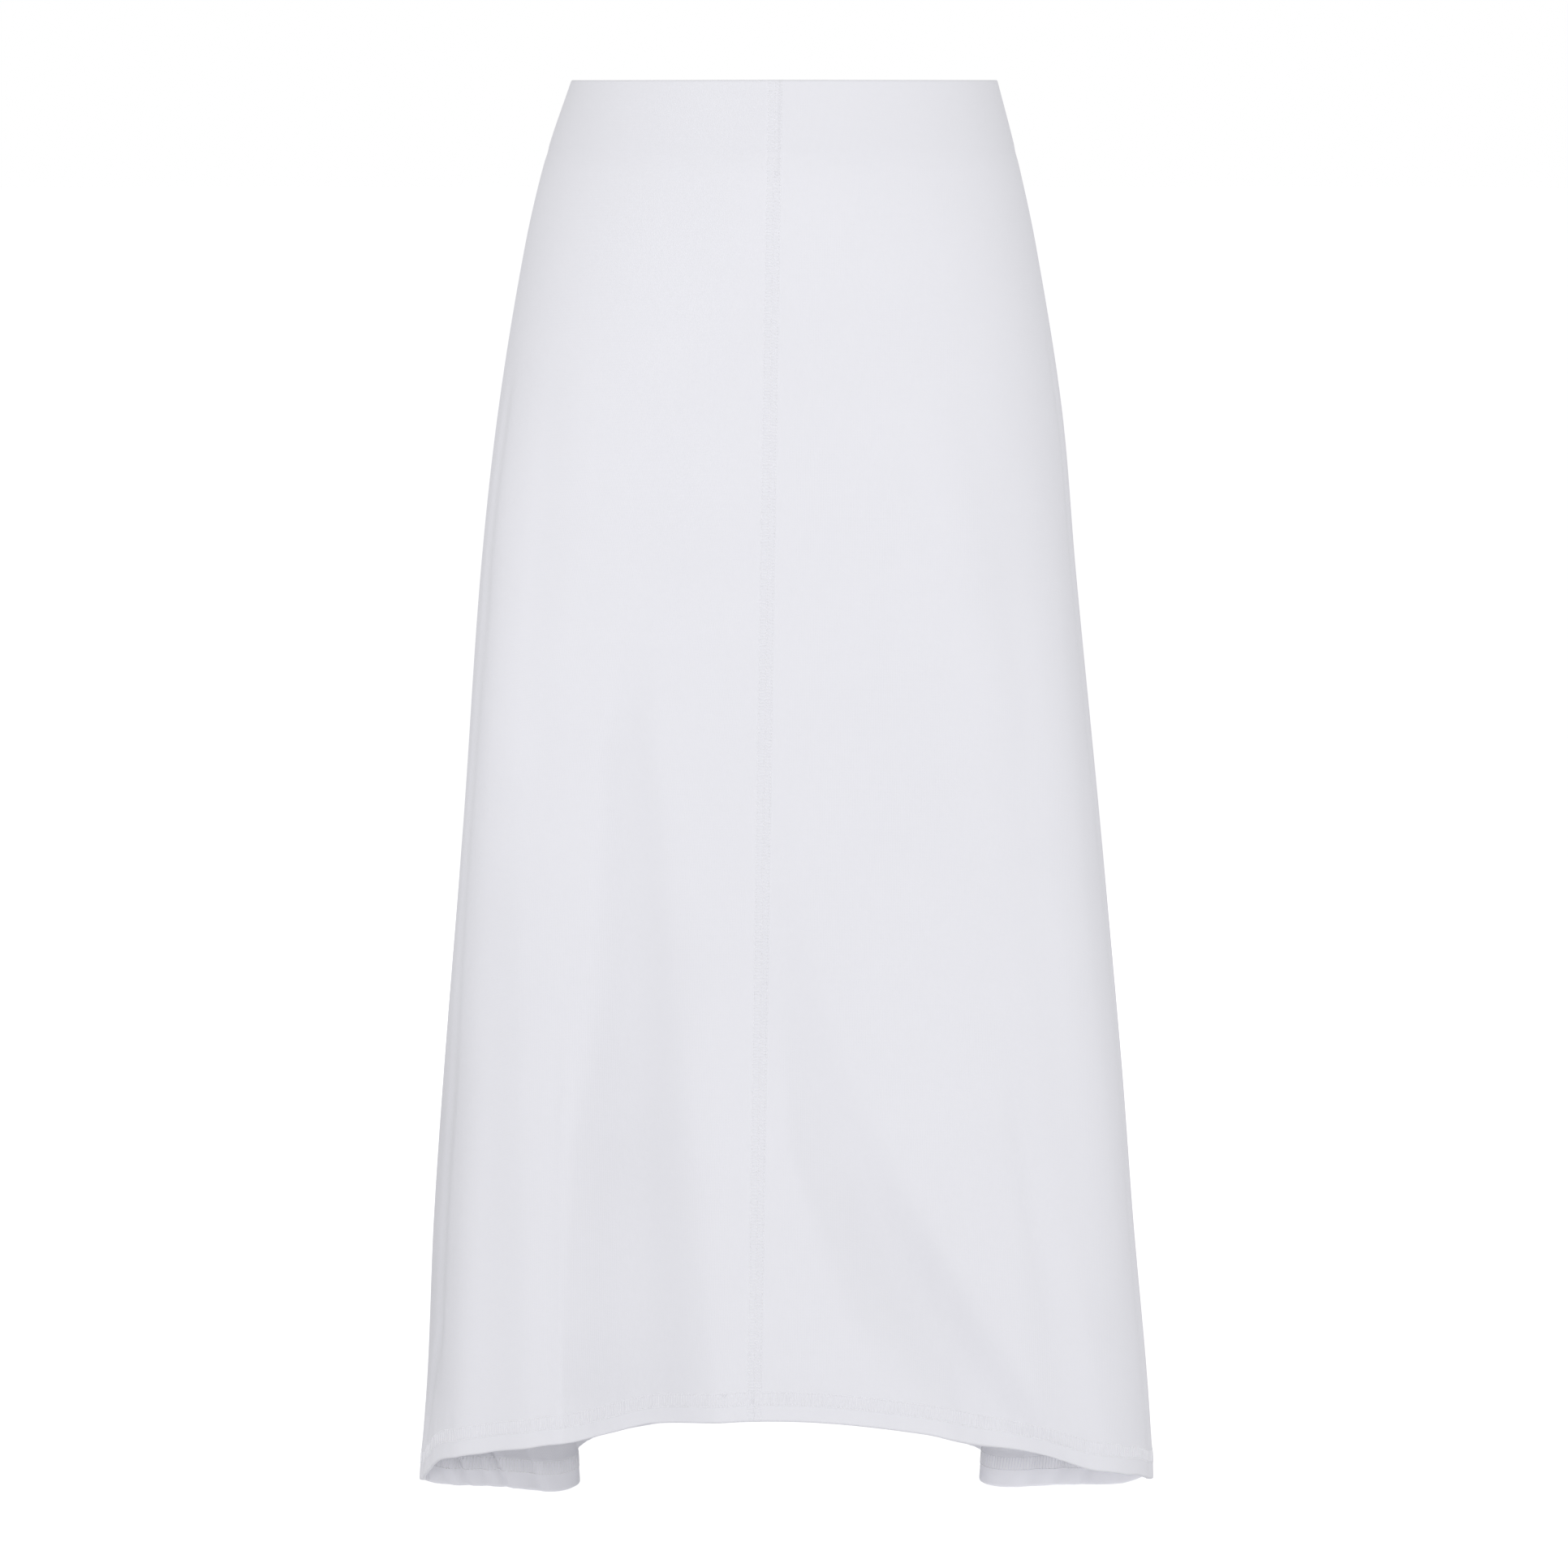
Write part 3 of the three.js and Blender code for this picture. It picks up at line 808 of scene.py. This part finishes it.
def thread_mesh(name, runs):
    """Copies of the stitch in one mesh. A run is places, outward directions and whole stitches."""
    places, outward, along = (np.vstack([run[k] for run in runs]) for k in range(3))
    places = places - outward * THREAD_SINK
    across = unit(np.cross(outward, along)) * THREAD
    up = unit(outward) * THREAD
    local = STITCH_POINTS
    points = (
        places[:, None]
        + along[:, None] * local[None, :, :1]
        + across[:, None] * local[None, :, 1:2]
        + up[:, None] * local[None, :, 2:]
    ).reshape(-1, 3)
    step = len(local)
    faces = [
        tuple(step * k + corner for corner in face)
        for k in range(len(places))
        for face in STITCH_FACES
    ]
    mesh = bpy.data.meshes.new(name)
    mesh.from_pydata((points * MM).tolist(), [], faces)
    mesh.polygons.foreach_set("use_smooth", np.ones(len(faces), bool))
    mesh.update()
    piece = bpy.data.objects.new(name, mesh)
    bpy.context.scene.collection.objects.link(piece)
    return piece


rng = np.random.default_rng(7)


def beside_seam(cloth, z, away):
    """Grid places at a height and a distance from the centre front seam, on one piece."""
    at_end = cloth.end == CF
    column = -1 if at_end else 0
    rows = np.interp(-z, -cloth.z[:, column], np.arange(len(cloth.z)))
    distance = cloth.from_end if at_end else cloth.from_start
    columns = np.empty_like(rows)
    order = slice(None, None, -1) if at_end else slice(None)
    for k, row in enumerate(rows):
        reach = distance[int(round(row))][order]
        places = np.arange(distance.shape[1])[order]
        columns[k] = np.interp(away[k], reach, places)
    return rows, columns


def above_edge(cloth, along, height):
    """Grid places at a distance along the hem and a height above its edge."""
    levels = cloth.above_hem[:, 0]
    row = np.interp(-height, -levels, np.arange(len(levels)))
    reach = cloth.from_start[int(round(float(row[0])))]
    return row, np.interp(along, reach, np.arange(len(reach)))


def seam_rungs(cloth, z, slant):
    """The rungs of one column of the flatlock."""
    rows, columns = beside_seam(cloth, z, np.full_like(z, FLATLOCK_COLUMN / 2))
    place, outward, around, down = cloth.at(rows, columns)
    tilt = slant + rng.normal(0, RUNG_TILT, len(z))
    length = FLATLOCK_COLUMN * rng.uniform(*FLATLOCK_UNEVEN, len(z))
    along = unit(around + down * tilt[:, None]) * length[:, None]
    return place, outward, along


def seam_needles(cloth, z, away):
    """One needle line of the flatlock, at a distance from the seam."""
    rows, columns = beside_seam(cloth, z, np.full_like(z, away))
    place, outward, _, down = cloth.at(rows, columns)
    return place, outward, down * FLATLOCK_PITCH * FLATLOCK_NEEDLE


def hem_runs(cloth, inside):
    """Rungs and both needle lines of the coverstitch along one panel."""
    row = np.array([np.interp(-COVER_LOW, -cloth.above_hem[:, 0], np.arange(len(cloth.z)))])
    length = cloth.from_start[int(round(float(row[0]))), -1]
    count = int(length / COVER_PITCH)
    along = (np.arange(count) + 0.5) * length / count
    runs = []
    middle = (COVER_LOW + COVER_HIGH) / 2
    rows, columns = above_edge(cloth, along, np.full(count, middle))
    place, outward, around, down = cloth.at(rows, columns, inside)
    tilt = rng.normal(COVER_LEAN, RUNG_TILT, count)
    height = (COVER_HIGH - COVER_LOW) * rng.uniform(*COVER_UNEVEN, count)
    runs.append((place, outward, unit(down + around * tilt[:, None]) * height[:, None]))
    for level in (COVER_LOW, COVER_HIGH):
        rows, columns = above_edge(cloth, along, np.full(count, level))
        place, outward, around, _ = cloth.at(rows, columns, inside)
        runs.append((place, outward, around * COVER_PITCH * COVER_NEEDLE))
    return runs


def ring_run(centre, outward, around, down, radius):
    """A thread ring: stitches end to end round a circle."""
    angles = np.arange(RING_STITCHES) * 2 * math.pi / RING_STITCHES
    out = np.cos(angles)[:, None] * around + np.sin(angles)[:, None] * down
    on = -np.sin(angles)[:, None] * around + np.cos(angles)[:, None] * down
    length = RING_OVERLAP * 2 * math.pi * radius / RING_STITCHES
    return centre + out * radius, np.repeat(outward, RING_STITCHES, axis=0), on * length


# Materials


def linear(colour):
    """A hex sRGB colour as linear RGBA."""
    channels = [((colour >> shift) & 255) / 255 for shift in (16, 8, 0)]
    straight = [c / 12.92 if c <= 0.04045 else ((c + 0.055) / 1.055) ** 2.4 for c in channels]
    return (*straight, 1.0)


def add(tree, kind, settings=None, links=None):
    """A node with its settings, and links of input name or number to an output socket."""
    node = tree.nodes.new(kind)
    for key, value in (settings or {}).items():
        if isinstance(key, str) and hasattr(node, key):
            setattr(node, key, value)
        else:
            node.inputs[key].default_value = value
    for key, output in (links or {}).items():
        tree.links.new(output, node.inputs[key])
    return node


def calculate(tree, operation, first, second=None):
    """A math node on an output socket, with a number or another output socket."""
    node = add(tree, "ShaderNodeMath", {"operation": operation}, {0: first})
    if isinstance(second, float):
        node.inputs[1].default_value = second
    elif second is not None:
        tree.links.new(second, node.inputs[1])
    return node.outputs[0]


def new_material(name):
    material = bpy.data.materials.new(name)
    material.use_nodes = True
    tree = material.node_tree
    tree.nodes.clear()
    return material, tree


JERSEY_LIGHT = 0xECECF1
JERSEY_SHADE = 0xE9E9EE
WALE = 0.9 * MM  # one column of knit loops, drawn twice as wide as real so that it shows
COURSE = 0.7 * MM  # one row of loops
COURSE_RELIEF = 0.25  # of the wales' relief
FUZZ_SCALE = 900  # per metre: fibres that stand off the surface
CLOUD_SCALE = 14.0  # per metre: slight unevenness of the bleached cloth


def knitted_jersey():
    """Cotton jersey with elastane, single knit: matt, fine upright wales, a soft bloom."""
    material, tree = new_material("white_cotton_jersey")
    cut = add(tree, "ShaderNodeUVMap", {"uv_map": "cut"})
    parts = add(tree, "ShaderNodeSeparateXYZ", links={0: cut.outputs["UV"]})
    wales = calculate(tree, "DIVIDE", parts.outputs["X"], WALE)
    share = calculate(tree, "PINGPONG", wales, 0.5)
    courses = calculate(tree, "DIVIDE", parts.outputs["Y"], COURSE)
    leaning = calculate(tree, "ADD", courses, share)
    turns = calculate(tree, "MULTIPLY", leaning, 2 * math.pi)
    loops = calculate(tree, "SINE", turns)
    low = calculate(tree, "MULTIPLY", loops, COURSE_RELIEF)
    knit = calculate(tree, "ADD", low, share)
    place = add(tree, "ShaderNodeTexCoord")
    fuzz = add(
        tree,
        "ShaderNodeTexNoise",
        {"Scale": FUZZ_SCALE, "Detail": 3.0, "Roughness": 0.6},
        {"Vector": place.outputs["Object"]},
    )
    knit_bump = add(
        tree,
        "ShaderNodeBump",
        {"Strength": 0.35, "Distance": 0.12 * MM},
        {"Height": knit},
    )
    bump = add(
        tree,
        "ShaderNodeBump",
        {"Strength": 0.25, "Distance": 0.1 * MM},
        {"Height": fuzz.outputs["Fac"], "Normal": knit_bump.outputs["Normal"]},
    )
    clouds = add(
        tree,
        "ShaderNodeTexNoise",
        {"Scale": CLOUD_SCALE, "Detail": 4.0, "Roughness": 0.55},
        {"Vector": place.outputs["Object"]},
    )
    tone = add(tree, "ShaderNodeMix", {"data_type": "RGBA"}, {"Factor": clouds.outputs["Fac"]})
    tone.inputs["A"].default_value = linear(JERSEY_SHADE)
    tone.inputs["B"].default_value = linear(JERSEY_LIGHT)
    # Painted shade and painted light: the cloud colour scaled by the tone attribute.
    painted_shade_and_light = add(tree, "ShaderNodeAttribute", {"attribute_name": "tone"})
    seen = add(
        tree,
        "ShaderNodeVectorMath",
        {"operation": "SCALE"},
        {0: tone.outputs["Result"], "Scale": painted_shade_and_light.outputs["Fac"]},
    )
    shader = add(
        tree,
        "ShaderNodeBsdfPrincipled",
        {
            "Roughness": 0.92,
            "IOR": 1.5,
            "Specular IOR Level": 0.25,
            "Sheen Weight": 0.12,
            "Sheen Roughness": 0.6,
        },
        {"Base Color": seen.outputs["Vector"], "Normal": bump.outputs["Normal"]},
    )
    add(tree, "ShaderNodeOutputMaterial", links={"Surface": shader.outputs["BSDF"]})
    return material


THREAD_COLOUR = 0xF6F6F9
PLY = 0.35 * MM  # about one twist of the thread
WAVE_FACTOR = 20  # a wave texture's own factor along an axis


def spun_thread():
    """Spun polyester sewing thread: slightly brighter than the cloth, with a twisted ply."""
    material, tree = new_material("white_spun_polyester_thread")
    place = add(tree, "ShaderNodeTexCoord")
    scale = 2 * math.pi / (WAVE_FACTOR * PLY)
    ply = add(
        tree,
        "ShaderNodeTexWave",
        {"bands_direction": "DIAGONAL", "Scale": scale, "Distortion": 1.5},
        {"Vector": place.outputs["Object"]},
    )
    bump = add(
        tree,
        "ShaderNodeBump",
        {"Strength": 0.4, "Distance": 0.05 * MM},
        {"Height": ply.outputs["Fac"]},
    )
    shader = add(
        tree,
        "ShaderNodeBsdfPrincipled",
        {
            "Base Color": linear(THREAD_COLOUR),
            "Roughness": 0.7,
            "IOR": 1.5,
            "Specular IOR Level": 0.4,
            "Sheen Weight": 0.1,
        },
        {"Normal": bump.outputs["Normal"]},
    )
    add(tree, "ShaderNodeOutputMaterial", links={"Surface": shader.outputs["BSDF"]})
    return material


jersey = knitted_jersey()
thread = spun_thread()


# Camera, as in the photograph: level with the waist, four metres off, looking a little down.
CAMERA_PLACE = (-0.00075, -4.0, 0.0)
CAMERA_TILT = math.radians(6.157)
CAMERA_LENS = 149.93
SENSOR = 36.0


def add_camera():
    data = bpy.data.cameras.new("camera")
    data.sensor_width = SENSOR
    data.lens = CAMERA_LENS
    data.clip_end = 200
    camera = bpy.data.objects.new("camera", data)
    camera.location = CAMERA_PLACE
    camera.rotation_euler = (math.pi / 2 - CAMERA_TILT, 0, 0)
    bpy.context.scene.collection.objects.link(camera)
    bpy.context.scene.camera = camera


# Sewn pieces

Piece = namedtuple("Piece", "name node start end columns rows flat area hangs_from")
PIECES = [
    Piece(
        "jersey_band_front_left", "waistband_front_left", LEFT, CF, 96, None,
        flat=(0.196, 0.047), area=0.0088, hangs_from=[],
    ),
    Piece(
        "jersey_band_front_right", "waistband_front_right", CF, RIGHT, 96, None,
        flat=(0.205, 0.047), area=0.0092, hangs_from=[],
    ),
    Piece(
        "jersey_band_back", "waistband_back", RIGHT, LEFT_AGAIN, 180, None,
        flat=(0.4, 0.047), area=0.018, hangs_from=[],
    ),
    Piece(
        "jersey_front_left", "front_left_panel", LEFT, CF, 96, 232,
        flat=(0.278, 0.828), area=0.2, hangs_from=["jersey_band_front_left"],
    ),
    Piece(
        "jersey_front_right", "front_right_panel", CF, RIGHT, 96, 232,
        flat=(0.325, 0.823), area=0.218, hangs_from=["jersey_band_front_right"],
    ),
    Piece(
        "jersey_back_right", "back_right_panel", RIGHT, BACK, 180, 190,
        flat=(0.374, 0.838), area=0.224, hangs_from=["jersey_band_back"],
    ),
    Piece(
        "jersey_back_left", "back_left_panel", BACK, LEFT_AGAIN, 180, 190,
        flat=(0.374, 0.841), area=0.226, hangs_from=["jersey_band_back"],
    ),
]

cloths = {}
for piece in PIECES:
    is_band = piece.rows is None
    levels = band_levels if is_band else panel_levels(piece.rows)
    cloth = Cloth(piece.start, piece.end, piece.columns, levels, is_band)
    cloths[piece.name] = cloth
    sewn = cloth_mesh(piece.name, cloth)
    sewn.data.materials.append(jersey)
    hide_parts(piece.node)
    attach(sewn, "root")
    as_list(piece.hangs_from)


def finish_thread(name, runs):
    sewn = thread_mesh(name, runs)
    sewn.data.materials.append(thread)
    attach(sewn, "root")
    return sewn


# How far the flatlock stays clear of the band's edge, its seam, the coverstitch and the hem.
BAND_EDGE_CLEAR = 1.5
BAND_SEAM_CLEAR = 1
COVER_CLEAR = 0.5
HEM_CLEAR = 0.8


def add_flatlock():
    """The ladder over the centre front seam, left out where the hem's stitching crosses it."""
    runs = []
    stretches = [
        ("band_front", -BAND_EDGE_CLEAR, -BAND_HEIGHT + BAND_SEAM_CLEAR),
        ("front", -BAND_HEIGHT - BAND_SEAM_CLEAR, -FRONT_LENGTH + COVER_HIGH + COVER_CLEAR),
        ("front", -FRONT_LENGTH + COVER_LOW - HEM_CLEAR, -FRONT_LENGTH + HEM_CLEAR),
    ]
    for front, top, low in stretches:
        left, right = cloths[f"jersey_{front}_left"], cloths[f"jersey_{front}_right"]
        count = int((top - low) / FLATLOCK_PITCH)
        z = top - (np.arange(count) + 0.5) * (top - low) / count
        runs.append(seam_rungs(left, z, 0.0))
        runs.append(seam_rungs(right, z, FLATLOCK_SLANT))
        runs.append(seam_needles(left, z, FLATLOCK_COLUMN))
        runs.append(seam_needles(right, z, 0.0))
        runs.append(seam_needles(right, z, FLATLOCK_COLUMN))
    return finish_thread("centre_front_flatlock", runs)


ThreadEnd = namedtuple("ThreadEnd", "at cloth z from_seam radius")
THREAD_ENDS = [
    ThreadEnd("under the band", "jersey_front_right", -55, 2.0, 1.3),
    ThreadEnd("where hem and seam cross", "jersey_front_left", -795, 0.9, 0.8),
    ThreadEnd("in the hem", "jersey_front_left", -791, 18, 1.0),
]


def add_thread_ends():
    """Small rings of thread where a line of stitching ends on the front."""
    runs = []
    for end in THREAD_ENDS:
        cloth = cloths[end.cloth]
        rows, columns = beside_seam(cloth, np.array([end.z], float), np.array([end.from_seam]))
        place, outward, around, down = cloth.at(rows, columns)
        runs.append(ring_run(place + outward * THREAD, outward, around, down, end.radius))
    return finish_thread("thread_ends", runs)


add_flatlock()
add_thread_ends()
for name, cloth in cloths.items():
    if not cloth.is_band:
        finish_thread(name.replace("jersey", "hem_coverstitch"), hem_runs(cloth, False))
        finish_thread(name.replace("jersey", "hem_loopers"), hem_runs(cloth, True))

add_camera()

# Studio: an even white surround, a pale floor, and soft lights from the front, from above,
# from low on the left and from behind.
FLOOR_Z = -1.05
FLOOR_RADIUS = 60
FLOOR_COLOUR = 0xF4F4F6
FLOOR_GLOW = 0.36  # only the camera sees it
WHITE = 0xFFFFFF
SURROUND = 0.725  # how strongly the surround lights the skirt
SoftBox = namedtuple("SoftBox", "name place tilt size power")
SOFT_BOXES = [
    SoftBox("front_softbox", (0.0, -4.3, 0.4), 79.2, 0.8, 24),
    SoftBox("high_softbox", (0.0, -2.2, 1.2), 53.6, 1.4, 8.3),
    SoftBox("low_softbox", (-1.2, -2.6, -0.5), 85, 0.5, 1.0),
    SoftBox("back_softbox", (0.0, 4.3, 0.8), -74, 2.0, 22),
]


def add_floor():
    bpy.ops.object.select_all(action="DESELECT")
    bpy.ops.mesh.primitive_circle_add(
        vertices=96,
        radius=FLOOR_RADIUS,
        fill_type="NGON",
        location=(0, 0, FLOOR_Z),
    )
    floor = bpy.context.object
    floor.name = "floor"
    material, tree = new_material("pale_floor")
    matt = add(tree, "ShaderNodeBsdfDiffuse", {"Color": linear(FLOOR_COLOUR)})
    path = add(tree, "ShaderNodeLightPath")
    seen = calculate(tree, "MULTIPLY", path.outputs["Is Camera Ray"], FLOOR_GLOW)
    glow = add(tree, "ShaderNodeEmission", {"Color": linear(WHITE)}, {"Strength": seen})
    both = add(tree, "ShaderNodeAddShader", links={0: matt.outputs[0], 1: glow.outputs[0]})
    add(tree, "ShaderNodeOutputMaterial", links={"Surface": both.outputs[0]})
    floor.data.materials.append(material)


def add_surround():
    world = bpy.data.worlds.new("white_surround")
    bpy.context.scene.world = world
    world.use_nodes = True
    tree = world.node_tree
    tree.nodes.clear()
    seen = add(tree, "ShaderNodeBackground", {"Color": linear(WHITE), "Strength": 1.0})
    lit = add(tree, "ShaderNodeBackground", {"Color": linear(WHITE), "Strength": SURROUND})
    path = add(tree, "ShaderNodeLightPath")
    both = add(
        tree,
        "ShaderNodeMixShader",
        links={0: path.outputs["Is Camera Ray"], 1: lit.outputs[0], 2: seen.outputs[0]},
    )
    add(tree, "ShaderNodeOutputWorld", links={"Surface": both.outputs[0]})


def add_soft_box(box):
    data = bpy.data.lights.new(box.name, "AREA")
    data.shape = "SQUARE"
    data.size = box.size
    data.energy = box.power
    light = bpy.data.objects.new(box.name, data)
    light.location = box.place
    light.rotation_euler = (math.radians(box.tilt), 0, 0)
    bpy.context.scene.collection.objects.link(light)


add_floor()
add_surround()
for box in SOFT_BOXES:
    add_soft_box(box)
bpy.context.scene.view_settings.view_transform = "Standard"
